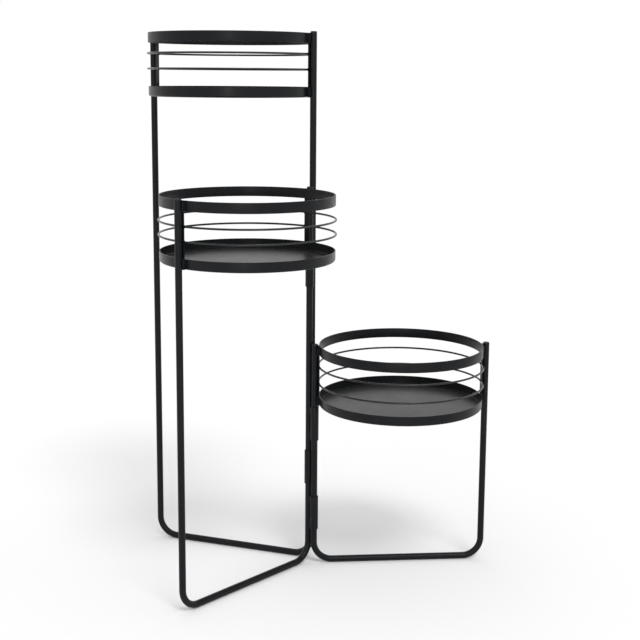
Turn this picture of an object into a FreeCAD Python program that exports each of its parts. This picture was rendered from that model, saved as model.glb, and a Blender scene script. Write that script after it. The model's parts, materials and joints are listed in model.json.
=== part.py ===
import FreeCAD, Part
import math
import os

import Sketcher

# Folding three-tier plant stand: three U-shaped tube frames of falling height,
# each with a round basket between its legs, chained by hinge sleeves.
# Millimetres, +Z up. The origin is on the floor, in the middle of the stand
# as it is set up. The front faces -Y.

VECTOR = FreeCAD.Vector
UP = VECTOR(0, 0, 1)

# Driving dimensions: name, value, what it is.
SIZES = [
    ("tube_diameter", 10.0, "outside diameter of the frame tubes"),
    ("tube_wall", 1.2, "wall of the frame tubes"),
    ("bend_radius", 29.0, "centreline radius of the two bends at the floor"),
    ("hoop_diameter", 254.0, "outside diameter of the basket's hoop and tray"),
    ("hoop_thickness", 2.0, "thickness of the hoop's flat bar"),
    ("hoop_band", 15.0, "height of the hoop's flat bar"),
    ("hoop_edge", 0.4, "broken edge of the hoop's flat bar"),
    ("basket_depth", 95.5, "top of the hoop down to the underside of the tray"),
    ("tray_depth", 15.0, "height of the tray with its rim"),
    ("tray_sheet", 1.2, "sheet thickness of the pressed tray"),
    ("tray_corner", 3.0, "outside corner radius between tray floor and rim"),
    ("strap_width", 10.0, "width of the flat straps between basket and legs"),
    ("strap_thickness", 2.0, "thickness of the straps"),
    ("wire_diameter", 3.0, "diameter of the basket wires"),
    ("tall_upper_wire_drop", 31.0, "top of the tall hoop down to its upper wire's centre"),
    ("tall_lower_wire_drop", 54.0, "top of the tall hoop down to its lower wire's centre"),
    ("middle_upper_wire_drop", 36.0, "top of the middle hoop down to its upper wire's centre"),
    ("middle_lower_wire_drop", 57.0, "top of the middle hoop down to its lower wire's centre"),
    ("low_upper_wire_drop", 33.0, "top of the low hoop down to its upper wire's centre"),
    ("low_lower_wire_drop", 60.0, "top of the low hoop down to its lower wire's centre"),
    ("tall_height", 825.0, "floor to the top of the tall frame's hoop"),
    ("middle_height", 594.0, "floor to the top of the middle frame's hoop"),
    ("low_height", 352.0, "floor to the top of the low frame's hoop"),
    ("cap_head", 2.5, "height of a plug cap above the tube's end"),
    ("cap_round", 1.6, "rounding of a plug cap's rim"),
    ("cap_plug", 9.0, "length of the plug inside the tube"),
    ("cap_clearance", 0.05, "radial clearance of the plug in the tube"),
    ("sleeve_wall", 1.4, "wall of the hinge sleeves"),
    ("sleeve_clearance", 0.08, "radial running clearance of a leg in its sleeves"),
    ("sleeve_length", 54.0, "length of a hinge sleeve"),
    ("sleeve_edge", 0.4, "chamfer on a sleeve's ends"),
    ("sleeve_drop", 1.5, "gap from a basket down to the sleeve below it"),
    ("hinge_gap", 0.5, "gap from a sleeve to the leg that it is welded to"),
    ("weld_radius", 1.6, "radius of the weld beads beside a sleeve"),
    ("weld_length", 12.0, "length of each weld bead"),
    ("low_sleeve_foot", 56.0, "floor to the low frame's lower sleeve"),
    ("tall_angle", 160.0, "direction of the tall frame, seen from above, from +X"),
    ("middle_angle", 228.5, "direction of the middle frame as set up"),
    ("low_angle", 5.0, "direction of the low frame as set up"),
]

doc = FreeCAD.newDocument("plant_stand")
sheet = doc.addObject("Spreadsheet::Sheet", "sizes")
for row, (name, value, note) in enumerate(SIZES, start=1):
    sheet.set("A%d" % row, name)
    sheet.set("B%d" % row, str(value))
    sheet.setAlias("B%d" % row, name)
    sheet.set("C%d" % row, note)
doc.recompute()

# Sizes that follow from the driving ones.
TUBE_RADIUS = "sizes.tube_diameter / 2"
TUBE_BORE_RADIUS = "(sizes.tube_diameter / 2 - sizes.tube_wall)"
HOOP_RADIUS = "sizes.hoop_diameter / 2"
STRAP_RADIUS = "(sizes.hoop_diameter / 2 + sizes.strap_thickness)"
WIRE_RADIUS = "sizes.wire_diameter / 2"
WIRE_RING_RADIUS = "(%s - %s)" % (STRAP_RADIUS, WIRE_RADIUS)
STRAP_HALF_ANGLE = "asin(sizes.strap_width / 2 / %s)" % STRAP_RADIUS
LEG_REACH = "(%s + %s)" % (STRAP_RADIUS, TUBE_RADIUS)
SLEEVE_BORE_RADIUS = "(sizes.tube_diameter / 2 + sizes.sleeve_clearance)"
SLEEVE_RADIUS = "(%s + sizes.sleeve_wall)" % SLEEVE_BORE_RADIUS
HINGE_SPACING = "(%s + sizes.hinge_gap + %s)" % (SLEEVE_RADIUS, TUBE_RADIUS)

# How far the hinge legs stand apart. The tall leg is behind the middle one
# and the low leg in front of it, each square to the frame that it folds flat
# against.
TALL_ASIDE = "%s * sin(sizes.tall_angle * 1 deg)" % HINGE_SPACING
TALL_BEHIND = "-%s * cos(sizes.tall_angle * 1 deg)" % HINGE_SPACING
LOW_ASIDE = "-%s * sin(sizes.middle_angle * 1 deg)" % HINGE_SPACING
LOW_BEHIND = "%s * cos(sizes.middle_angle * 1 deg)" % HINGE_SPACING

# The middle leg, seen from the middle of the stand: halfway between the two
# outermost legs, and halfway between the rear and the front basket's edge.
LEGS_APART = "2 * %s * (cos(sizes.tall_angle * 1 deg) + cos(sizes.low_angle * 1 deg))" % LEG_REACH
BASKETS_APART = "%s * (sin(sizes.tall_angle * 1 deg) + sin(sizes.middle_angle * 1 deg))" % LEG_REACH
MIDDLE_X = "-(%s + %s + %s) / 2" % (TALL_ASIDE, LOW_ASIDE, LEGS_APART)
MIDDLE_Y = "-(%s + %s) / 2" % (TALL_BEHIND, BASKETS_APART)

# Where each frame's hinge leg stands. A frame's front and rear are how far
# the wire halves on those sides are turned from the frame's own left.
FRAMES = {
    "tall": {
        "foot_x": "%s + %s" % (MIDDLE_X, TALL_ASIDE),
        "foot_y": "%s + %s" % (MIDDLE_Y, TALL_BEHIND),
        "front": "0 deg",
        "rear": "180 deg",
    },
    "middle": {
        "foot_x": MIDDLE_X,
        "foot_y": MIDDLE_Y,
        "front": "0 deg",
        "rear": "180 deg",
    },
    "low": {
        "foot_x": "%s + %s" % (MIDDLE_X, LOW_ASIDE),
        "foot_y": "%s + %s" % (MIDDLE_Y, LOW_BEHIND),
        "front": "180 deg",
        "rear": "0 deg",
    },
}


def origin_plane(body, role):
    """The body's own plane of that role."""
    for feature in body.Origin.OriginFeatures:
        if feature.Role == role:
            return feature
    raise ValueError(role)


def new_body(label):
    body = doc.addObject("PartDesign::Body", label)
    body.Label = label
    return body


def new_sketch(body, name, role, lift=None):
    """A section on one of the body's own planes, lifted along its normal."""
    sketch = body.newObject("Sketcher::SketchObject", name)
    sketch.AttachmentSupport = [(origin_plane(body, role), "")]
    sketch.MapMode = "FlatFace"
    if lift is not None:
        sketch.setExpression(".AttachmentOffset.Base.z", lift)
    return sketch


def bind(sketch, constraint, expression):
    """Adds a dimension and ties it to one of the stand's sizes."""
    index = sketch.addConstraint(constraint)
    sketch.setExpression("Constraints[%d]" % index, expression)
    return index


def circle(sketch, radius, x=None):
    """A circle at the section's origin, or at a distance x beside it."""
    edge = sketch.addGeometry(Part.Circle(VECTOR(10, 0, 0), UP, 1.0), False)
    bind(sketch, Sketcher.Constraint("Radius", edge, 1.0), radius)
    if x is None:
        sketch.addConstraint(Sketcher.Constraint("Coincident", edge, 3, -1, 1))
    else:
        sketch.addConstraint(Sketcher.Constraint("PointOnObject", edge, 3, -1))
        bind(sketch, Sketcher.Constraint("DistanceX", -1, 1, edge, 3, 10.0), x)
    return edge


def outline(sketch, corners):
    """A closed outline of straight lines, each corner given by its two
    distances from the section's origin."""
    guesses = [VECTOR(evaluate(x), evaluate(y), 0) for x, y in corners]
    edges = []
    for index, start in enumerate(guesses):
        end = guesses[(index + 1) % len(guesses)]
        edges.append(sketch.addGeometry(Part.LineSegment(start, end), False))
    for index, edge in enumerate(edges):
        after = edges[(index + 1) % len(edges)]
        sketch.addConstraint(Sketcher.Constraint("Coincident", edge, 2, after, 1))
    for edge, guess, (x, y) in zip(edges, guesses, corners):
        place_on_axis(sketch, edge, "DistanceX", guess.x, x, -2)
        place_on_axis(sketch, edge, "DistanceY", guess.y, y, -1)
    return edges


def place_on_axis(sketch, edge, kind, guess, expression, axis):
    """Places an edge's start at a distance from an axis, or on it."""
    if expression == "0":
        sketch.addConstraint(Sketcher.Constraint("PointOnObject", edge, 1, axis))
    else:
        bind(sketch, Sketcher.Constraint(kind, -1, 1, edge, 1, guess), expression)


def evaluate(expression):
    """The present value of a derived size."""
    return float(sheet.evalExpression(expression))


def place(body, frame, along="0", height="0", turn="0 deg"):
    """Puts a piece on its frame: a distance along the frame from the hinge
    leg, a height above the floor, and a turn of its own about the vertical."""
    foot_x = FRAMES[frame]["foot_x"]
    foot_y = FRAMES[frame]["foot_y"]
    angle = "sizes.%s_angle * 1 deg" % frame
    body.Placement = FreeCAD.Placement(VECTOR(0, 0, 0), FreeCAD.Rotation(UP, 1.0))
    body.setExpression(".Placement.Base.x", "%s + %s * cos(%s)" % (foot_x, along, angle))
    body.setExpression(".Placement.Base.y", "%s + %s * sin(%s)" % (foot_y, along, angle))
    body.setExpression(".Placement.Base.z", height)
    body.setExpression(".Placement.Rotation.Angle", "%s + %s" % (angle, turn))


def leg_frame(frame):
    """The U-shaped tube: two legs, two bends and the run along the floor."""
    body = new_body("%s_leg_frame" % frame)
    top = "sizes.%s_height" % frame
    path = new_sketch(body, "%s_frame_path" % frame, "XZ_Plane")
    high = evaluate(top)
    bend = evaluate("sizes.bend_radius")
    low = evaluate(TUBE_RADIUS)
    span = 2 * evaluate(LEG_REACH)
    corner = low + bend
    hinge_leg = path.addGeometry(Part.LineSegment(VECTOR(0, high, 0), VECTOR(0, corner, 0)))
    hinge_bend = path.addGeometry(quarter_bend(bend, corner, bend, 180))
    run_start = VECTOR(bend, low, 0)
    floor_run = path.addGeometry(Part.LineSegment(run_start, VECTOR(span - bend, low, 0)))
    outer_bend = path.addGeometry(quarter_bend(span - bend, corner, bend, 270))
    outer_leg = path.addGeometry(Part.LineSegment(VECTOR(span, corner, 0), VECTOR(span, high, 0)))
    chain = [hinge_leg, hinge_bend, floor_run, outer_bend, outer_leg]
    for edge, after in zip(chain, chain[1:]):
        path.addConstraint(Sketcher.Constraint("Tangent", edge, 2, after, 1))
    path.addConstraint(Sketcher.Constraint("PointOnObject", hinge_leg, 1, -2))
    path.addConstraint(Sketcher.Constraint("Vertical", hinge_leg))
    path.addConstraint(Sketcher.Constraint("Horizontal", floor_run))
    path.addConstraint(Sketcher.Constraint("Vertical", outer_leg))
    path.addConstraint(Sketcher.Constraint("Equal", hinge_bend, outer_bend))
    bind(path, Sketcher.Constraint("Radius", hinge_bend, bend), "sizes.bend_radius")
    bind(path, Sketcher.Constraint("DistanceY", -1, 1, hinge_leg, 1, high), top)
    bind(path, Sketcher.Constraint("DistanceY", -1, 1, outer_leg, 2, high), top)
    bind(path, Sketcher.Constraint("DistanceX", -1, 1, outer_leg, 2, span), "2 * %s" % LEG_REACH)
    bind(path, Sketcher.Constraint("DistanceY", -1, 1, floor_run, 1, low), TUBE_RADIUS)
    section = new_sketch(body, "%s_frame_section" % frame, "XY_Plane", top)
    circle(section, TUBE_RADIUS)
    circle(section, TUBE_BORE_RADIUS)
    doc.recompute()
    tube = body.newObject("PartDesign::AdditivePipe", "%s_frame_tube" % frame)
    tube.Profile = section
    tube.Spine = (path, ["Edge%d" % number for number in range(1, len(chain) + 1)])
    place(body, frame)
    return body


def quarter_bend(x, y, radius, start_angle):
    """A quarter circle, anticlockwise from start_angle in degrees."""
    whole = Part.Circle(VECTOR(x, y, 0), UP, radius)
    return Part.ArcOfCircle(whole, math.radians(start_angle), math.radians(start_angle + 90))


def plug_cap(frame, side, along):
    """A moulded plug in an open tube end, with a low rounded head."""
    body = new_body("%s_cap_%s" % (frame, side))
    sketch = new_sketch(body, "%s_cap_%s_profile" % (frame, side), "XZ_Plane")
    plug_radius = "(%s - sizes.cap_clearance)" % TUBE_BORE_RADIUS
    outline(sketch, [
        ("0", "-sizes.cap_plug"),
        (plug_radius, "-sizes.cap_plug"),
        (plug_radius, "0"),
        (TUBE_RADIUS, "0"),
        (TUBE_RADIUS, "sizes.cap_head"),
        ("0", "sizes.cap_head"),
    ])
    plug = turned(body, sketch, "%s_cap_%s_turned" % (frame, side))
    doc.recompute()
    top = evaluate("sizes.cap_head") - 0.01
    rim = edges_at(body, "Circle", lambda edge: edge.BoundBox.ZMin > top)
    rounding = body.newObject("PartDesign::Fillet", "%s_cap_%s_rim" % (frame, side))
    rounding.Base = (plug, rim)
    rounding.setExpression("Radius", "min(sizes.cap_round; sizes.cap_head * 0.9)")
    body.Tip = rounding
    place(body, frame, along, "sizes.%s_height" % frame)
    return body


def turned(body, sketch, name, angle=None):
    """Sweeps a section about the vertical axis, all round or through an
    angle that is centred on the section."""
    feature = body.newObject("PartDesign::Revolution", name)
    feature.Profile = sketch
    feature.ReferenceAxis = (sketch, ["V_Axis"])
    feature.Angle = 360.0
    if angle is not None:
        feature.setExpression("Angle", angle)
        feature.Midplane = True
    return feature


def edges_at(body, kind, test):
    """The body's edges of one kind of curve that pass a test."""
    names = []
    for number, edge in enumerate(body.Shape.Edges, start=1):
        if edge.Curve.TypeId == "Part::Geom%s" % kind and test(edge):
            names.append("Edge%d" % number)
    return names


def hoop(frame):
    """The flat-band ring that closes the basket at the top."""
    body = new_body("%s_hoop" % frame)
    sketch = new_sketch(body, "%s_hoop_profile" % frame, "XZ_Plane")
    inner = "(%s - sizes.hoop_thickness)" % HOOP_RADIUS
    outer = HOOP_RADIUS
    edge = "sizes.hoop_edge"
    outline(sketch, [
        ("%s + %s" % (inner, edge), "-sizes.hoop_band"),
        ("%s - %s" % (outer, edge), "-sizes.hoop_band"),
        (outer, "-sizes.hoop_band + %s" % edge),
        (outer, "-%s" % edge),
        ("%s - %s" % (outer, edge), "0"),
        ("%s + %s" % (inner, edge), "0"),
        (inner, "-%s" % edge),
        (inner, "-sizes.hoop_band + %s" % edge),
    ])
    turned(body, sketch, "%s_hoop_band" % frame)
    place(body, frame, LEG_REACH, "sizes.%s_height" % frame)
    return body


def wire_half(frame, level, side):
    """Half of a wire hoop. It ends on the flanks of the two straps."""
    name = "%s_%s_wire_%s" % (frame, level, side)
    body = new_body(name)
    sketch = new_sketch(body, "%s_section" % name, "YZ_Plane")
    circle(sketch, WIRE_RADIUS, WIRE_RING_RADIUS)
    turned(body, sketch, "%s_arc" % name, "180 deg - 2 * %s" % STRAP_HALF_ANGLE)
    height = "sizes.%s_height - sizes.%s_%s_wire_drop" % (frame, frame, level)
    place(body, frame, LEG_REACH, height, FRAMES[frame][side])
    return body


def strap(frame, side, turn):
    """A flat bar, rolled to the basket's curve, from tray to hoop."""
    name = "%s_strap_%s" % (frame, side)
    body = new_body(name)
    sketch = new_sketch(body, "%s_section" % name, "XZ_Plane")
    outline(sketch, [
        (HOOP_RADIUS, "-sizes.basket_depth"),
        (STRAP_RADIUS, "-sizes.basket_depth"),
        (STRAP_RADIUS, "0"),
        (HOOP_RADIUS, "0"),
    ])
    turned(body, sketch, "%s_bar" % name, "2 * %s" % STRAP_HALF_ANGLE)
    place(body, frame, LEG_REACH, "sizes.%s_height" % frame, turn)
    return body


def tray(frame):
    """The pressed dish that a pot stands in: a flat floor, a rounded corner
    and an upright rim of the same sheet."""
    body = new_body("%s_tray" % frame)
    sketch = new_sketch(body, "%s_tray_profile" % frame, "XZ_Plane")
    inner = "(%s - sizes.tray_sheet)" % HOOP_RADIUS
    outline(sketch, [
        ("0", "0"),
        (HOOP_RADIUS, "0"),
        (HOOP_RADIUS, "sizes.tray_depth"),
        (inner, "sizes.tray_depth"),
        (inner, "sizes.tray_sheet"),
        ("0", "sizes.tray_sheet"),
    ])
    dish = turned(body, sketch, "%s_tray_dish" % frame)
    doc.recompute()
    floor = evaluate("sizes.tray_sheet")
    outside = edges_at(body, "Circle", lambda edge: edge.BoundBox.ZMax < 0.01)
    corner = body.newObject("PartDesign::Fillet", "%s_tray_corner" % frame)
    corner.Base = (dish, outside)
    corner.setExpression("Radius", "sizes.tray_corner")
    body.Tip = corner
    doc.recompute()
    inside = edges_at(body, "Circle", lambda edge: on_floor(edge, floor))
    throat = body.newObject("PartDesign::Fillet", "%s_tray_throat" % frame)
    throat.Base = (corner, inside)
    throat.setExpression("Radius", "max(sizes.tray_corner - sizes.tray_sheet; 0.2)")
    body.Tip = throat
    height = "sizes.%s_height - sizes.basket_depth" % frame
    place(body, frame, LEG_REACH, height)
    return body


def on_floor(edge, floor):
    """True for the circle where the tray's floor meets its rim inside."""
    flat = edge.BoundBox.ZLength < 0.01
    return flat and abs(edge.BoundBox.ZMin - floor) < 0.01


def hinge_sleeve(name, frame, carrier, foot):
    """A sleeve on a frame's hinge leg, with two pairs of weld beads to the
    neighbouring leg of the frame that carries it. The sleeve's own X axis
    points at that leg."""
    body = new_body(name)
    ring = new_sketch(body, "%s_ring" % name, "XY_Plane")
    circle(ring, SLEEVE_RADIUS)
    circle(ring, SLEEVE_BORE_RADIUS)
    wall = body.newObject("PartDesign::Pad", "%s_wall" % name)
    wall.Profile = ring
    wall.setExpression("Length", "sizes.sleeve_length")
    doc.recompute()
    outer = evaluate(SLEEVE_RADIUS)
    ends = edges_at(body, "Circle", lambda edge: abs(edge.Curve.Radius - outer) < 0.01)
    chamfer = body.newObject("PartDesign::Chamfer", "%s_ends" % name)
    chamfer.Base = (wall, ends)
    chamfer.setExpression("Size", "sizes.sleeve_edge")
    body.Tip = chamfer

    # The beads lie in the two grooves between sleeve and leg, equally deep
    # in both: reach is how far a bead's centre is from either one's axis.
    sleeve_reach = "(%s + sizes.weld_radius / 2)" % SLEEVE_RADIUS
    leg_reach = "(%s + sizes.weld_radius / 2)" % TUBE_RADIUS
    beads = new_sketch(body, "%s_bead_section" % name, "XY_Plane", "sizes.sleeve_edge")
    spacing = evaluate(HINGE_SPACING)
    pair = []
    for side in (1, -1):
        centre = VECTOR(spacing * 0.57, side * 2.6, 0)
        pair.append(beads.addGeometry(Part.Circle(centre, UP, evaluate("sizes.weld_radius"))))
    beads.addConstraint(Sketcher.Constraint("Symmetric", pair[0], 3, pair[1], 3, -1))
    beads.addConstraint(Sketcher.Constraint("Equal", pair[0], pair[1]))
    bind(beads, Sketcher.Constraint("Radius", pair[0], 1.6), "sizes.weld_radius")
    bind(beads, Sketcher.Constraint("Distance", pair[0], 3, -1, 1, 7.3), sleeve_reach)
    leg_axis = beads.addGeometry(Part.Point(VECTOR(spacing, 0, 0)), True)
    beads.addConstraint(Sketcher.Constraint("PointOnObject", leg_axis, 1, -1))
    bind(beads, Sketcher.Constraint("DistanceX", -1, 1, leg_axis, 1, spacing), HINGE_SPACING)
    bind(beads, Sketcher.Constraint("Distance", pair[0], 3, leg_axis, 1, 5.8), leg_reach)
    weld = body.newObject("PartDesign::Pad", "%s_bead" % name)
    weld.Profile = beads
    weld.setExpression("Length", "sizes.weld_length")
    doc.recompute()
    pattern = body.newObject("PartDesign::LinearPattern", "%s_beads" % name)
    pattern.Originals = [weld]
    pattern.Direction = (beads, ["N_Axis"])
    pattern.Occurrences = 2
    run = "sizes.sleeve_length - sizes.weld_length - 2 * sizes.sleeve_edge"
    pattern.setExpression("Length", run)
    body.Tip = pattern
    doc.recompute()

    # The leg that the sleeve turns on and the leg that it is welded to.
    clear = new_sketch(body, "%s_clearance" % name, "XY_Plane")
    circle(clear, SLEEVE_BORE_RADIUS)
    circle(clear, TUBE_RADIUS, HINGE_SPACING)
    cut = body.newObject("PartDesign::Pocket", "%s_seats" % name)
    cut.Profile = clear
    cut.Type = 1
    cut.Midplane = True
    body.Tip = cut

    place(body, frame, height=foot)
    body.setExpression(".Placement.Rotation.Angle", "sizes.%s_angle * 1 deg - 90 deg" % carrier)
    return body


for frame_name in FRAMES:
    leg_frame(frame_name)
    plug_cap(frame_name, "hinge", "0")
    plug_cap(frame_name, "outer", "2 * %s" % LEG_REACH)
    hoop(frame_name)
    for level_name in ("upper", "lower"):
        wire_half(frame_name, level_name, "front")
        wire_half(frame_name, level_name, "rear")
    tray(frame_name)
    strap(frame_name, "hinge", "180 deg")
    strap(frame_name, "outer", "0 deg")

BELOW_HOOP = "(sizes.basket_depth + sizes.sleeve_drop + sizes.sleeve_length)"
UNDER_MIDDLE = "sizes.middle_height - %s" % BELOW_HOOP
UNDER_LOW = "sizes.low_height - %s" % BELOW_HOOP

# The middle frame's lower sleeve stands halfway between the low frame's two,
# because neighbouring sleeves are too wide to lie side by side.
BETWEEN_LOW = "(%s + sizes.low_sleeve_foot) / 2" % UNDER_LOW

hinge_sleeve("middle_sleeve_upper", "middle", "tall", UNDER_MIDDLE)
hinge_sleeve("middle_sleeve_lower", "middle", "tall", BETWEEN_LOW)
hinge_sleeve("low_sleeve_upper", "low", "middle", UNDER_LOW)
hinge_sleeve("low_sleeve_lower", "low", "middle", "sizes.low_sleeve_foot")

doc.recompute()

failed = []
for item in doc.Objects:
    if "Invalid" in item.State or "Error" in item.State:
        failed.append(item.Name)
pieces = [item for item in doc.Objects if item.TypeId == "PartDesign::Body"]
for piece in pieces:
    if piece.Shape.isNull() or not piece.Shape.isValid() or len(piece.Shape.Solids) != 1:
        failed.append(piece.Label)
if failed:
    raise RuntimeError("these did not build: %s" % ", ".join(failed))

os.makedirs("parts", exist_ok=True)
for piece in pieces:
    piece.Shape.exportStep("parts/%s.step" % piece.Label)
print("%d pieces written" % len(pieces))
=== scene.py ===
import json
import math

import bpy
from mathutils import Matrix, Vector


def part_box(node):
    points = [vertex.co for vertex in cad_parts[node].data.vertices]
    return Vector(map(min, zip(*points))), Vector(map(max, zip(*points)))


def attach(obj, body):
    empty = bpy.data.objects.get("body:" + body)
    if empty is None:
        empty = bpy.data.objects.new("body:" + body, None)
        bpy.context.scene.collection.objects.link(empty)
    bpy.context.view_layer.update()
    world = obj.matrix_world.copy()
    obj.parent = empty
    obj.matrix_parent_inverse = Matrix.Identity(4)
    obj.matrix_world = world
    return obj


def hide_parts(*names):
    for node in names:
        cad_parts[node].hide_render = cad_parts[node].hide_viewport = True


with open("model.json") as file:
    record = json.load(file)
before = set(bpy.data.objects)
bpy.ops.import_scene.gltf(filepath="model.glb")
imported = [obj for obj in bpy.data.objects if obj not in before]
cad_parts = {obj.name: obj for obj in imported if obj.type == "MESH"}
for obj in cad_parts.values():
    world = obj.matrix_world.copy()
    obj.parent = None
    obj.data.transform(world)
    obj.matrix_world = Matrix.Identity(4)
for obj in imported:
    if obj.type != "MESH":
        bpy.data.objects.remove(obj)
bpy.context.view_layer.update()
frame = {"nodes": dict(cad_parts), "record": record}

tiers = ("tall", "middle", "low")
up = Vector((0, 0, 1))
hair = 1e-5  # slack when points are picked by their place
mergeWithin = 2e-6  # points closer than this are one point
bodyOf = {}
for bodyName, members in frame["record"]["behaviour"]["bodies"].items():
    for member in members:
        bodyOf[member] = bodyName
print("stage: frame loaded,", len(bodyOf), "solids")


def middleOf(node):
    low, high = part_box(node)
    return (low + high) / 2


def standingOf(tier):  # a frame's leg axes, basket centre, heading and top, from its solids
    hingeLeg = middleOf(tier + "_cap_hinge")
    outerLeg = middleOf(tier + "_cap_outer")
    hingeLeg.z = outerLeg.z = 0
    along = (outerLeg - hingeLeg).normalized()
    return {
        "hinge": hingeLeg,
        "outer": outerLeg,
        "centre": (hingeLeg + outerLeg) / 2,
        "along": along,
        "heading": math.atan2(along.y, along.x),
        "top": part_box(tier + "_hoop")[1].z,
    }


stands = {tier: standingOf(tier) for tier in tiers}


def onBasket(stand, radius, height, turn):  # a point on the basket's round
    angle = stand["heading"] + turn
    spot = stand["centre"] + Vector((math.cos(angle), math.sin(angle), 0)) * radius
    spot.z = height
    return spot


def nothingSelected():
    if bpy.context.object and bpy.context.object.mode != "OBJECT":
        bpy.ops.object.mode_set(mode="OBJECT")
    bpy.ops.object.select_all(action="DESELECT")


def applyPlace():
    bpy.ops.object.transform_apply(location=True, rotation=True, scale=True)


def editAll():
    bpy.ops.object.mode_set(mode="EDIT")
    bpy.ops.mesh.select_mode(type="VERT")
    bpy.ops.mesh.select_all(action="SELECT")


def pick(test, mode="VERT"):  # in edit mode, selects the points that pass a test
    mesh = bpy.context.object.data
    bpy.ops.object.mode_set(mode="OBJECT")
    for group in (mesh.vertices, mesh.edges, mesh.polygons):
        group.foreach_set("select", [False] * len(group))
    for vertex in mesh.vertices:
        vertex.select = test(vertex.co)
    bpy.ops.object.mode_set(mode="EDIT")
    bpy.ops.mesh.select_mode(type="VERT")
    bpy.ops.mesh.select_mode(type=mode)


def settle(name, smoothAngle=40):  # place goes into the mesh, faces point out
    piece = bpy.context.object
    nothingSelected()
    piece.select_set(True)
    applyPlace()
    editAll()
    bpy.ops.mesh.remove_doubles(threshold=mergeWithin)
    bpy.ops.mesh.select_all(action="SELECT")
    bpy.ops.mesh.fill_holes(sides=0)
    bpy.ops.mesh.select_all(action="SELECT")
    bpy.ops.mesh.normals_make_consistent(inside=False)
    bpy.ops.object.mode_set(mode="OBJECT")
    bpy.ops.object.shade_smooth_by_angle(angle=math.radians(smoothAngle))
    piece.name = name
    piece.data.name = name
    return piece


def copied(pattern, name, spot, turn=0.0):  # a copy with a mesh of its own, put in place
    nothingSelected()
    pattern.select_set(True)
    bpy.context.view_layer.objects.active = pattern
    bpy.ops.object.duplicate()
    piece = bpy.context.object
    piece.rotation_euler.z = turn
    piece.location = spot
    applyPlace()
    piece.name = name
    piece.data.name = name
    return piece


def joined(pieces, name):
    nothingSelected()
    for piece in pieces:
        piece.select_set(True)
    bpy.context.view_layer.objects.active = pieces[0]
    bpy.ops.object.join()
    pieces[0].name = name
    pieces[0].data.name = name
    return pieces[0]


def standsFor(piece, node, surface):  # a finer piece in the place of its solid
    piece.data.materials.clear()
    piece.data.materials.append(surface)
    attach(piece, bodyOf[node])
    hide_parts(node)


def uprightSection(width, height, distance, corner, segments=3, turn=0.0):
    # a rounded rectangle on edge beside the z axis, ready to spin round it
    nothingSelected()
    spot = (distance * math.cos(turn), distance * math.sin(turn), 0)
    bpy.ops.mesh.primitive_plane_add(size=1, location=spot, rotation=(math.pi / 2, 0, turn))
    bpy.context.object.scale = (width, height, 1)
    applyPlace()
    editAll()
    bpy.ops.mesh.bevel(offset=corner, segments=segments, affect="VERTICES")
    bpy.ops.mesh.select_all(action="SELECT")


def spinRound(angle, steps):
    if angle == math.tau:  # a full turn has no ends to close
        bpy.ops.mesh.delete(type="ONLY_FACE")
        bpy.ops.mesh.select_all(action="SELECT")
    bpy.ops.mesh.spin(steps=steps, angle=angle, center=(0, 0, 0), axis=(0, 0, -1))


tube = {
    "radius": 0.005,
    "bore": 0.0038,
    "boreDepth": 0.008,  # how far the cut ends go in, round the plugs
    "bendRadius": 0.029,
    "sides": 32,
    "bendSteps": 18,
    "runParts": 12,
}


def legFrame(tier):  # one tube, bent twice
    stand = stands[tier]
    square = Vector((-stand["along"].y, stand["along"].x, 0))
    corner = tube["radius"] + tube["bendRadius"]
    run = (stand["outer"] - stand["hinge"]).length - 2 * tube["bendRadius"]
    drop = stand["top"] - corner
    nothingSelected()
    bpy.ops.mesh.primitive_circle_add(
        vertices=tube["sides"],
        radius=tube["radius"],
        location=stand["hinge"] + up * stand["top"],
        rotation=(0, 0, stand["heading"]),
    )
    applyPlace()
    editAll()

    def push(direction, length):
        step = direction * (length / tube["runParts"])
        for part in range(tube["runParts"]):
            bpy.ops.mesh.extrude_region_move(TRANSFORM_OT_translate={"value": step})

    def bend(centre):
        bpy.ops.mesh.spin(
            steps=tube["bendSteps"], angle=math.pi / 2, center=centre, axis=square
        )

    push(-up, drop)
    bend(stand["hinge"] + stand["along"] * tube["bendRadius"] + up * corner)
    push(stand["along"], run)
    bend(stand["outer"] - stand["along"] * tube["bendRadius"] + up * corner)
    push(up, drop)

    shrink = tube["bore"] / tube["radius"]
    for leg in ("hinge", "outer"):  # the cut ends, as rings round the plugs
        spot = stand[leg]
        pick(
            lambda p: p.z > stand["top"] - hair
            and (p - spot).xy.length < 2 * tube["radius"]
        )
        bpy.ops.mesh.extrude_region()
        bpy.ops.transform.resize(
            value=(shrink, shrink, 1), center_override=spot + up * stand["top"]
        )
        bpy.ops.mesh.extrude_region_move(
            TRANSFORM_OT_translate={"value": -up * tube["boreDepth"]}
        )
    return settle(tier + "_bent_tube")


# what repeats is modelled once round the z axis, as a pattern for the copies
hoop = {"outside": 0.127, "thickness": 0.002, "band": 0.015, "edge": 0.0004, "steps": 160}


def bandHoop():
    middle = hoop["outside"] - hoop["thickness"] / 2
    uprightSection(hoop["thickness"], hoop["band"], middle, hoop["edge"])
    spinRound(math.tau, hoop["steps"])
    return settle("hoop_pattern")


strap = {"thickness": 0.002, "width": 0.010, "edge": 0.0004, "steps": 4}
outsideOfStrap = hoop["outside"] + strap["thickness"]
strapSpread = math.asin(strap["width"] / 2 / outsideOfStrap)  # half of its angle on the basket


def flatStrap():
    low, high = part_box("tall_strap_outer")
    middle = hoop["outside"] + strap["thickness"] / 2
    uprightSection(
        strap["thickness"], high.z - low.z, middle, strap["edge"], turn=-strapSpread
    )
    spinRound(2 * strapSpread, strap["steps"])
    return settle("strap_pattern")


wire = {"thickness": 0.003, "sides": 16, "steps": 72}
wireRing = outsideOfStrap - wire["thickness"] / 2


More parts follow.
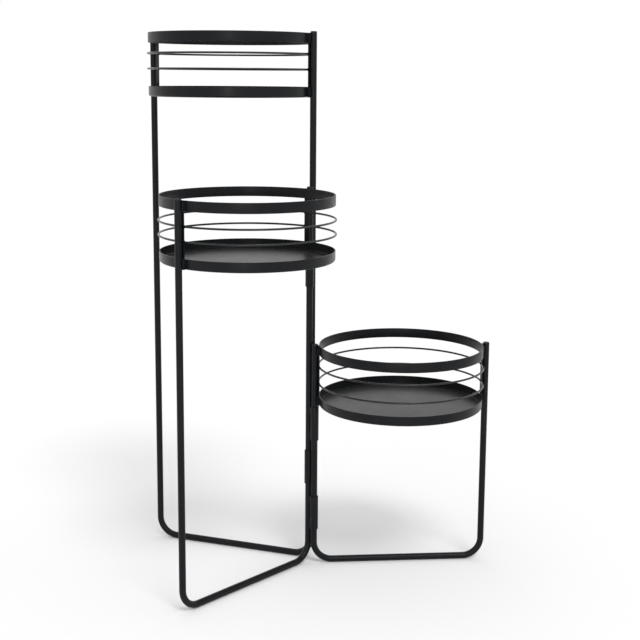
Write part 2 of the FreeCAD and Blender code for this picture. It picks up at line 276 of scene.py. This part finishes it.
def wireHalf():  # from one strap to the other, on the left of the heading
    nothingSelected()
    bpy.ops.mesh.primitive_circle_add(
        vertices=wire["sides"],
        radius=wire["thickness"] / 2,
        fill_type="NGON",
        location=(wireRing * math.cos(strapSpread), wireRing * math.sin(strapSpread), 0),
        rotation=(math.pi / 2, 0, strapSpread),
    )
    applyPlace()
    editAll()
    spinRound(math.pi - 2 * strapSpread, wire["steps"])
    return settle("wire_pattern")


tray = {
    "outside": 0.127,
    "depth": 0.015,
    "sheet": 0.0012,
    "corner": 0.003,
    "cornerSteps": 6,
    "steps": 160,
    "floorRings": (0.008, 0.018, 0.027, 0.03, 0.026),  # so that the floor shades evenly
}


def pressedTray():  # with its underside at height 0
    nothingSelected()
    bpy.ops.mesh.primitive_circle_add(
        vertices=tray["steps"], radius=tray["outside"], fill_type="NGON", location=(0, 0, 0)
    )
    piece = bpy.context.object
    editAll()
    bpy.ops.mesh.select_mode(type="FACE")
    for ring in tray["floorRings"]:
        bpy.ops.mesh.inset(thickness=ring)
    rim = tray["outside"] - hair
    pick(lambda p: p.xy.length > rim, "EDGE")
    bpy.ops.mesh.extrude_region_move(TRANSFORM_OT_translate={"value": up * tray["depth"]})
    pick(lambda p: p.xy.length > rim and p.z < hair, "EDGE")
    bpy.ops.mesh.bevel(offset=tray["corner"], segments=tray["cornerSteps"], affect="EDGES")
    bpy.ops.mesh.select_all(action="SELECT")
    bpy.ops.mesh.normals_make_consistent(inside=False)
    bpy.ops.object.mode_set(mode="OBJECT")
    wall = piece.modifiers.new("sheet", "SOLIDIFY")
    wall.thickness = tray["sheet"]
    wall.offset = -1  # inwards
    wall.use_even_offset = True
    bpy.ops.object.modifier_apply(modifier=wall.name)
    return settle("tray_pattern")


weld = {
    "sides": 12,
    "pitch": 0.0011,  # from ripple to ripple
    "fewest": 3,  # ripples
    "swell": 0.13,
    "dip": 0.4,  # of the swell, between two ripples
    "taper": 0.55,  # of the full size, near both ends
    "rise": 3.2,  # how soon the full size is reached
    "tip": 0.275,  # of the full size, at the very ends
    "smoothAngle": 80,
}


def weldBead(length, radius):
    # one upright pass of weld: a round section pushed along, swelling at every ripple
    steps = 2 * max(weld["fewest"], round(length / weld["pitch"]))
    size = weld["tip"]
    nothingSelected()
    bpy.ops.mesh.primitive_circle_add(
        vertices=weld["sides"], radius=radius * size, fill_type="NGON", location=(0, 0, 0)
    )
    editAll()
    for part in range(1, steps + 1):
        toEnd = min(part, steps - part) / steps
        ripple = weld["swell"] if part % 2 else -weld["swell"] * weld["dip"]
        newSize = min(1.0, weld["rise"] * toEnd + weld["taper"]) * (1 + ripple)
        if part == steps:
            newSize = weld["tip"]
        bpy.ops.mesh.extrude_region_move(
            TRANSFORM_OT_translate={"value": up * (length / steps)}
        )
        bpy.ops.transform.resize(
            value=Vector((1, 1, 1)) * (newSize / size),
            center_override=up * (length * part / steps),
        )
        size = newSize
    return settle("bead_pattern", weld["smoothAngle"])


sleeve = {
    "bore": 0.00508,
    "wall": 0.0014,
    "edge": 0.0004,
    "edgeSteps": 2,
    "steps": 40,
    "beadRadius": 0.0015,
    "beadDepth": 0.55,  # share of a bead that stands out of the groove
    "beadLength": 0.012,
    "beadInset": 0.0012,  # from the sleeve's end
}


def sleeveWall():
    low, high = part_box("low_sleeve_upper")
    middle = sleeve["bore"] + sleeve["wall"] / 2
    uprightSection(
        sleeve["wall"], high.z - low.z, middle, sleeve["edge"], sleeve["edgeSteps"]
    )
    spinRound(math.tau, sleeve["steps"])
    return settle("sleeve_pattern")


seams = {
    "legRadius": 0.00135,
    "legLength": 0.013,
    "legInset": 0.0022,  # from the hoop's top and from the tray's underside
    "legRise": 0.5,  # of the bead's radius, off the strap
    "legSpread": 0.9,  # of the way to where a bead just touches strap and tube
    "bandRadius": 0.0009,
    "bandInset": 0.0012,  # from the band's edges
    "bandRise": 0.0002,  # off the band
    "bandTurn": 0.0012,  # past the strap's edge, in radians
    "wireRadius": 0.0011,
    "wireReach": 0.0024,  # above and below the wire
}
patterns = {
    "hoop": bandHoop(),
    "tray": pressedTray(),
    "wire": wireHalf(),
    "strap": flatStrap(),
    "sleeve": sleeveWall(),
    "sleeveBead": weldBead(sleeve["beadLength"], sleeve["beadRadius"]),
    "legBead": weldBead(seams["legLength"], seams["legRadius"]),
    "hoopBead": weldBead(hoop["band"] - 2 * seams["bandInset"], seams["bandRadius"]),
    "trayBead": weldBead(
        tray["depth"] - tray["corner"] - 2 * seams["bandInset"], seams["bandRadius"]
    ),
    "wireBead": weldBead(2 * seams["wireReach"], seams["wireRadius"]),
}
print("stage: patterns modelled,", len(patterns))


def basketWelds(tier):
    stand = stands[tier]
    hoopLow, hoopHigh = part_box(tier + "_hoop")
    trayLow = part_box(tier + "_tray")[0]
    gap = 2 * math.sqrt(tube["radius"] * seams["legRadius"]) * seams["legSpread"]
    beads = []

    def stitch(kind, spot):
        beads.append(copied(patterns[kind], tier + "_stitch", spot))

    for turn, out in ((0.0, stand["along"]), (math.pi, -stand["along"])):
        side = Vector((-out.y, out.x, 0))
        near = stand["centre"] + out * (outsideOfStrap + seams["legRadius"] * seams["legRise"])
        for hand in (1, -1):
            # leg to strap, at the hoop and at the tray
            corner = near + side * gap * hand
            legFoot = hoopHigh.z - seams["legInset"] - seams["legLength"]
            stitch("legBead", corner + up * legFoot)
            stitch("legBead", corner + up * (trayLow.z + seams["legInset"]))
            # hoop and tray to the strap's edge
            angle = turn + (strapSpread + seams["bandTurn"]) * hand
            ring = hoop["outside"] + seams["bandRise"]
            hoopFoot = hoopLow.z + seams["bandInset"]
            trayFoot = trayLow.z + tray["corner"] + seams["bandInset"]
            stitch("hoopBead", onBasket(stand, ring, hoopFoot, angle))
            stitch("trayBead", onBasket(stand, ring, trayFoot, angle))
            # each wire's end to the strap's edge
            for level in ("upper", "lower"):
                height = middleOf(tier + "_" + level + "_wire_front").z - seams["wireReach"]
                spot = onBasket(stand, wireRing, height, turn + strapSpread * hand)
                stitch("wireBead", spot)
    return joined(beads, tier + "_basket_welds")


def hingeSleeve(node, carrierTier, ownTier):
    low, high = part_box(node)
    axis = stands[ownTier]["hinge"]
    toLeg = stands[carrierTier]["hinge"] - axis
    spacing = toLeg.length
    toLeg.normalize()
    heading = math.atan2(toLeg.y, toLeg.x)
    middle = axis + up * (low.z + high.z) / 2
    parts = [copied(patterns["sleeve"], node + "_wall", middle, heading)]

    # the grooves between sleeve and leg, where a bead touches both alike
    offGroove = sleeve["beadRadius"] * sleeve["beadDepth"]
    fromAxis = sleeve["bore"] + sleeve["wall"] + offGroove
    fromLeg = tube["radius"] + offGroove
    forward = (spacing**2 + fromAxis**2 - fromLeg**2) / (2 * spacing)
    across = math.sqrt(fromAxis**2 - forward**2)
    side = Vector((-toLeg.y, toLeg.x, 0))
    for hand in (1, -1):
        groove = axis + toLeg * forward + side * across * hand
        for foot in (
            low.z + sleeve["beadInset"],
            high.z - sleeve["beadInset"] - sleeve["beadLength"],
        ):
            bead = copied(patterns["sleeveBead"], node + "_stitch", groove + up * foot)
            parts.append(bead)
    return joined(parts, node + "_welded")


paint = {
    "colour": (0.0038, 0.0044, 0.0058, 1),
    "pale": (0.0064, 0.0071, 0.0088, 1),
    "wearAndHighlightColour": (0.024, 0.024, 0.026, 1),
    "roughness": (0.30, 0.42),
    "gloss": 0.16,
    "grain": 900.0,
    "blotch": 28.0,
    "bump": 0.10,
}
trayPaint = {
    "colour": (0.0040, 0.0045, 0.0056, 1),
    "pale": (0.0066, 0.0072, 0.0085, 1),
    "wearAndHighlightColour": (0.028, 0.028, 0.029, 1),
    "roughness": (0.27, 0.34),
    "gloss": 0.17,
    "grain": 620.0,
    "blotch": 16.0,
    "bump": 0.08,
}
wirePaint = {
    "colour": (0.0040, 0.0046, 0.0060, 1),
    "pale": (0.0068, 0.0075, 0.0092, 1),
    "wearAndHighlightColour": (0.024, 0.024, 0.026, 1),
    "roughness": (0.23, 0.31),
    "gloss": 0.40,
    "grain": 900.0,
    "blotch": 28.0,
    "bump": 0.06,
}
plugPlastic = {
    "colour": (0.0052, 0.0053, 0.0060, 1),
    "pale": (0.0085, 0.0086, 0.0094, 1),
    "wearAndHighlightColour": (0.018, 0.018, 0.019, 1),
    "roughness": (0.46, 0.58),
    "gloss": 0.30,
    "grain": 1500.0,
    "blotch": 90.0,
    "bump": 0.05,
}
# painted sheen on the tray floor: a thin lighter film in place of the floor's reflection
trayFloorSheen = {
    "colour": (0.031, 0.032, 0.031, 1),
    "radius": 0.1242,
    "edge": 0.004,  # where the film thins out
    "heights": (0.0008, 0.0003),  # off the floor, for none and for all of it
    "grain": 22.0,
    "noise": (4, 0.55),
    "noiseRange": (0.2, 0.8),
    "shares": (0.75, 1.0),  # of the colour, at the thinnest and at the thickest
}
rubbingAndEdgeHighlight = {
    "underTube": (0.0012, 0.6),  # how far from an edge, and how strongly
    # hoopTop and trayRim: wear of the coat with a painted highlight along the top edges
    "hoopTop": (0.0008, 0.7),
    "trayRim": (0.0007, 0.8),
    "full": 0.3,  # of the reach, where the wear and painted highlight are strongest
    "patchScale": 120.0,
    "patchNoise": (5, 0.65),
    "patchRange": (0.42, 0.62),
}
coat = {
    "blotchNoise": (4, 0.6),  # detail and roughness, as in the other noises
    "blotchRange": (0.36, 0.66),
    "speckScale": 0.35,  # of the grain's
    "speckNoise": (3, 0.7),
    "speckRange": (0.66, 0.76),
    "speckShare": 0.55,
    "sheenScale": 2.3,  # of the blotches'
    "sheenNoise": (5, 0.65),
    "sheenRange": (0.3, 0.7),
    "waveScale": 0.3,  # of the grain's
    "waveDetail": 3,
    "waveDepth": 0.0006,
    "grainDetail": 2,
    "grainDepth": 0.0002,
}


def coating(name, look, edgeWearAndHighlight=None, floorSheen=None):
    surface = bpy.data.materials.new(name)
    surface.use_nodes = True
    nodes = surface.node_tree.nodes
    links = surface.node_tree.links
    nodes.clear()
    out = nodes.new("ShaderNodeOutputMaterial")
    shader = nodes.new("ShaderNodeBsdfPrincipled")
    links.new(shader.outputs["BSDF"], out.inputs["Surface"])
    shader.inputs["Specular IOR Level"].default_value = look["gloss"]
    place = nodes.new("ShaderNodeTexCoord").outputs["Object"]

    def noise(scale, detail, roughness=0.5):
        node = nodes.new("ShaderNodeTexNoise")
        node.inputs["Scale"].default_value = scale
        node.inputs["Detail"].default_value = detail
        node.inputs["Roughness"].default_value = roughness
        links.new(place, node.inputs["Vector"])
        return node.outputs["Fac"]

    def spreadOut(value, low, high, toLow=0.0, toHigh=1.0):
        node = nodes.new("ShaderNodeMapRange")
        node.inputs["From Min"].default_value = low
        node.inputs["From Max"].default_value = high
        node.inputs["To Min"].default_value = toLow
        node.inputs["To Max"].default_value = toHigh
        links.new(value, node.inputs["Value"])
        return node.outputs["Result"]

    def blendColour(share, first, second):
        node = nodes.new("ShaderNodeMix")
        node.data_type = "RGBA"
        for socket, value in ((node.inputs["A"], first), (node.inputs["B"], second)):
            if isinstance(value, tuple):
                socket.default_value = value
            else:
                links.new(value, socket)
        links.new(share, node.inputs["Factor"])
        return node.outputs["Result"]

    def times(first, second):
        node = nodes.new("ShaderNodeMath")
        node.operation = "MULTIPLY"
        node.use_clamp = True
        links.new(first, node.inputs[0])
        links.new(second, node.inputs[1])
        return node.outputs["Value"]

    def offHeight(level):  # how far above or below a level
        height = nodes.new("ShaderNodeSeparateXYZ")
        links.new(place, height.inputs["Vector"])
        above = nodes.new("ShaderNodeMath")
        above.operation = "SUBTRACT"
        links.new(height.outputs["Z"], above.inputs[0])
        above.inputs[1].default_value = level
        distance = nodes.new("ShaderNodeMath")
        distance.operation = "ABSOLUTE"
        links.new(above.outputs["Value"], distance.inputs[0])
        return distance.outputs["Value"]

    def bumps(depth, height, under=None):
        node = nodes.new("ShaderNodeBump")
        node.inputs["Strength"].default_value = look["bump"]
        node.inputs["Distance"].default_value = depth
        links.new(height, node.inputs["Height"])
        if under:
            links.new(under, node.inputs["Normal"])
        return node.outputs["Normal"]

    blotches = noise(look["blotch"], *coat["blotchNoise"])
    blotches = spreadOut(blotches, *coat["blotchRange"])
    colour = blendColour(blotches, look["colour"], look["pale"])
    specks = noise(look["grain"] * coat["speckScale"], *coat["speckNoise"])
    specks = spreadOut(specks, *coat["speckRange"], 0.0, coat["speckShare"])
    colour = blendColour(specks, colour, look["wearAndHighlightColour"])
    if edgeWearAndHighlight:  # near one height the coat shows wear in patches; along the hoop's top and the tray's rim it is also a painted highlight
        level, (reach, share) = edgeWearAndHighlight
        band = spreadOut(offHeight(level), reach, reach * rubbingAndEdgeHighlight["full"], 0.0, share)
        patches = noise(rubbingAndEdgeHighlight["patchScale"], *rubbingAndEdgeHighlight["patchNoise"])
        patches = spreadOut(patches, *rubbingAndEdgeHighlight["patchRange"])
        colour = blendColour(times(band, patches), colour, look["wearAndHighlightColour"])
    if floorSheen:  # painted sheen: a thin even lighter film on a flat round floor
        onFloor = spreadOut(offHeight(floorSheen["centre"].z), *floorSheen["heights"])
        away = nodes.new("ShaderNodeVectorMath")
        away.operation = "DISTANCE"
        links.new(place, away.inputs[0])
        away.inputs[1].default_value = floorSheen["centre"]
        inside = spreadOut(
            away.outputs["Value"], floorSheen["radius"], floorSheen["radius"] - floorSheen["edge"]
        )
        film = noise(floorSheen["grain"], *floorSheen["noise"])
        film = spreadOut(film, *floorSheen["noiseRange"], *floorSheen["shares"])
        colour = blendColour(times(times(onFloor, inside), film), colour, floorSheen["colour"])
    links.new(colour, shader.inputs["Base Color"])

    sheen = noise(look["blotch"] * coat["sheenScale"], *coat["sheenNoise"])
    sheen = spreadOut(sheen, *coat["sheenRange"], *look["roughness"])
    links.new(sheen, shader.inputs["Roughness"])

    waves = noise(look["grain"] * coat["waveScale"], coat["waveDetail"])
    waves = bumps(coat["waveDepth"], waves)
    grain = noise(look["grain"], coat["grainDetail"])
    links.new(bumps(coat["grainDepth"], grain, waves), shader.inputs["Normal"])
    return surface


tubeCoat = coating("black_coat_on_tube", paint, (0.0, rubbingAndEdgeHighlight["underTube"]))
wireCoat = coating("black_coat_on_wire", wirePaint)
capPlastic = coating("black_plug_plastic", plugPlastic)
bandCoats = {}
trayCoats = {}
for tier in tiers:
    hoopTop = stands[tier]["top"]
    # the band's coat: wear and painted highlight along the hoop's top
    bandCoats[tier] = coating(
        tier + "_black_coat_on_band", paint, (hoopTop, rubbingAndEdgeHighlight["hoopTop"])
    )
    # the tray's coat: wear and painted highlight along its rim
    trayLow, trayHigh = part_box(tier + "_tray")
    # where the painted floor sheen of the tray is centred
    floorCentre = stands[tier]["centre"] + up * (trayLow.z + tray["sheet"])
    trayCoats[tier] = coating(
        tier + "_black_coat_on_tray",
        trayPaint,
        (trayHigh.z, rubbingAndEdgeHighlight["trayRim"]),
        {**trayFloorSheen, "centre": floorCentre},
    )
print("stage: finishes made")

for tier in tiers:
    stand = stands[tier]
    centre, heading = stand["centre"], stand["heading"]
    standsFor(legFrame(tier), tier + "_leg_frame", tubeCoat)

    hoopSpot = centre + up * middleOf(tier + "_hoop").z
    band = copied(patterns["hoop"], tier + "_band_hoop", hoopSpot, heading)
    standsFor(band, tier + "_hoop", bandCoats[tier])

    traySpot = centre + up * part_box(tier + "_tray")[0].z
    pan = copied(patterns["tray"], tier + "_pressed_tray", traySpot)
    standsFor(pan, tier + "_tray", trayCoats[tier])

    for level in ("upper", "lower"):
        for half in ("front", "rear"):
            node = tier + "_" + level + "_wire_" + half
            middle = middleOf(node)
            toHalf = middle - centre
            onLeft = stand["along"].cross(toHalf).z > 0
            rod = copied(
                patterns["wire"],
                node + "_rod",
                centre + up * middle.z,
                heading + (0.0 if onLeft else math.pi),
            )
            standsFor(rod, node, wireCoat)

    for leg, turn in (("outer", 0.0), ("hinge", math.pi)):
        node = tier + "_strap_" + leg
        strapSpot = centre + up * middleOf(node).z
        bar = copied(patterns["strap"], node + "_bar", strapSpot, heading + turn)
        standsFor(bar, node, tubeCoat)
        cap = frame["nodes"][tier + "_cap_" + leg]
        cap.data.materials.clear()
        cap.data.materials.append(capPlastic)

    welds = basketWelds(tier)
    welds.data.materials.append(tubeCoat)
    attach(welds, tier)
    print("stage:", tier, "frame modelled")

for carrierTier, ownTier in (("tall", "middle"), ("middle", "low")):
    for level in ("upper", "lower"):
        node = ownTier + "_sleeve_" + level
        standsFor(hingeSleeve(node, carrierTier, ownTier), node, tubeCoat)
print("stage: hinge sleeves modelled")

nothingSelected()
for pattern in patterns.values():
    pattern.select_set(True)
bpy.ops.object.delete()
print("stage: patterns put away")


studio = {
    "floorSize": 400.0,
    "floorColour": (0.965, 0.965, 0.965, 1),
    "floorDrop": 0.0002,  # under the tubes
    "skyLight": 0.80,
    "sunPlace": (-1, -2, 3),
    "sunStrength": 0.95,
    "sunSpread": 0.35,
    "sunTilt": (0.55, 0.28, 0.0),
    "boxPlace": (-0.20, -3.30, 1.15),
    "boxSize": (0.50, 2.00),
    "boxWatts": 12.0,
}


def floorFinish():
    surface = bpy.data.materials.new("pale_studio_floor")
    surface.use_nodes = True
    shader = surface.node_tree.nodes["Principled BSDF"]
    shader.inputs["Base Color"].default_value = studio["floorColour"]
    shader.inputs["Roughness"].default_value = 1.0
    shader.inputs["Specular IOR Level"].default_value = 0.0
    return surface


nothingSelected()
bpy.ops.mesh.primitive_plane_add(
    size=studio["floorSize"], location=(0, 0, -studio["floorDrop"])
)
floor = bpy.context.object
floor.name = "studio_floor"
floor.data.materials.append(floorFinish())

world = bpy.data.worlds.new("studio")
bpy.context.scene.world = world
world.use_nodes = True
worldNodes = world.node_tree.nodes
worldLinks = world.node_tree.links
background = worldNodes["Background"]
background.inputs["Color"].default_value = (1, 1, 1, 1)
rays = worldNodes.new("ShaderNodeLightPath")
seen = rays.outputs["Is Camera Ray"]
for kind in ("Is Glossy Ray", "Is Transmission Ray"):
    either = worldNodes.new("ShaderNodeMath")
    either.operation = "MAXIMUM"
    worldLinks.new(seen, either.inputs[0])
    worldLinks.new(rays.outputs[kind], either.inputs[1])
    seen = either.outputs["Value"]
strength = worldNodes.new("ShaderNodeMapRange")  # white where it is seen
strength.inputs["To Min"].default_value = studio["skyLight"]
strength.inputs["To Max"].default_value = 1.0
worldLinks.new(seen, strength.inputs["Value"])
worldLinks.new(strength.outputs["Result"], background.inputs["Strength"])

bpy.ops.object.light_add(
    type="SUN", location=studio["sunPlace"], rotation=studio["sunTilt"]
)
sun = bpy.context.object
sun.name = "soft_window_light"
sun.data.energy = studio["sunStrength"]
sun.data.angle = studio["sunSpread"]

boxTurn = math.atan2(-studio["boxPlace"][0], -studio["boxPlace"][1])
bpy.ops.object.light_add(
    type="AREA", location=studio["boxPlace"], rotation=(math.pi / 2, 0, boxTurn)
)
softbox = bpy.context.object
softbox.name = "front_softbox"
softbox.data.shape = "RECTANGLE"
softbox.data.size, softbox.data.size_y = studio["boxSize"]
softbox.data.energy = studio["boxWatts"]

view = {
    "place": (0.0020, -1.8511, 0.7621),
    "pitchDown": 9.83,
    "roll": 0.40,
    "lens": 69.59,
    "sensor": 36,
    "shiftUp": -0.0469,
}
bpy.ops.object.camera_add(location=view["place"])
camera = bpy.context.object
camera.name = "photo_camera"
tilt = Matrix.Rotation(math.radians(90 - view["pitchDown"]), 3, "X")
roll = Matrix.Rotation(math.radians(view["roll"]), 3, "Z")
camera.rotation_euler = (tilt @ roll).to_euler()
camera.data.sensor_width = view["sensor"]
camera.data.lens = view["lens"]
camera.data.shift_y = view["shiftUp"]
bpy.context.scene.camera = camera
bpy.context.scene.view_settings.view_transform = "Standard"
print("stage: floor, light and camera set")
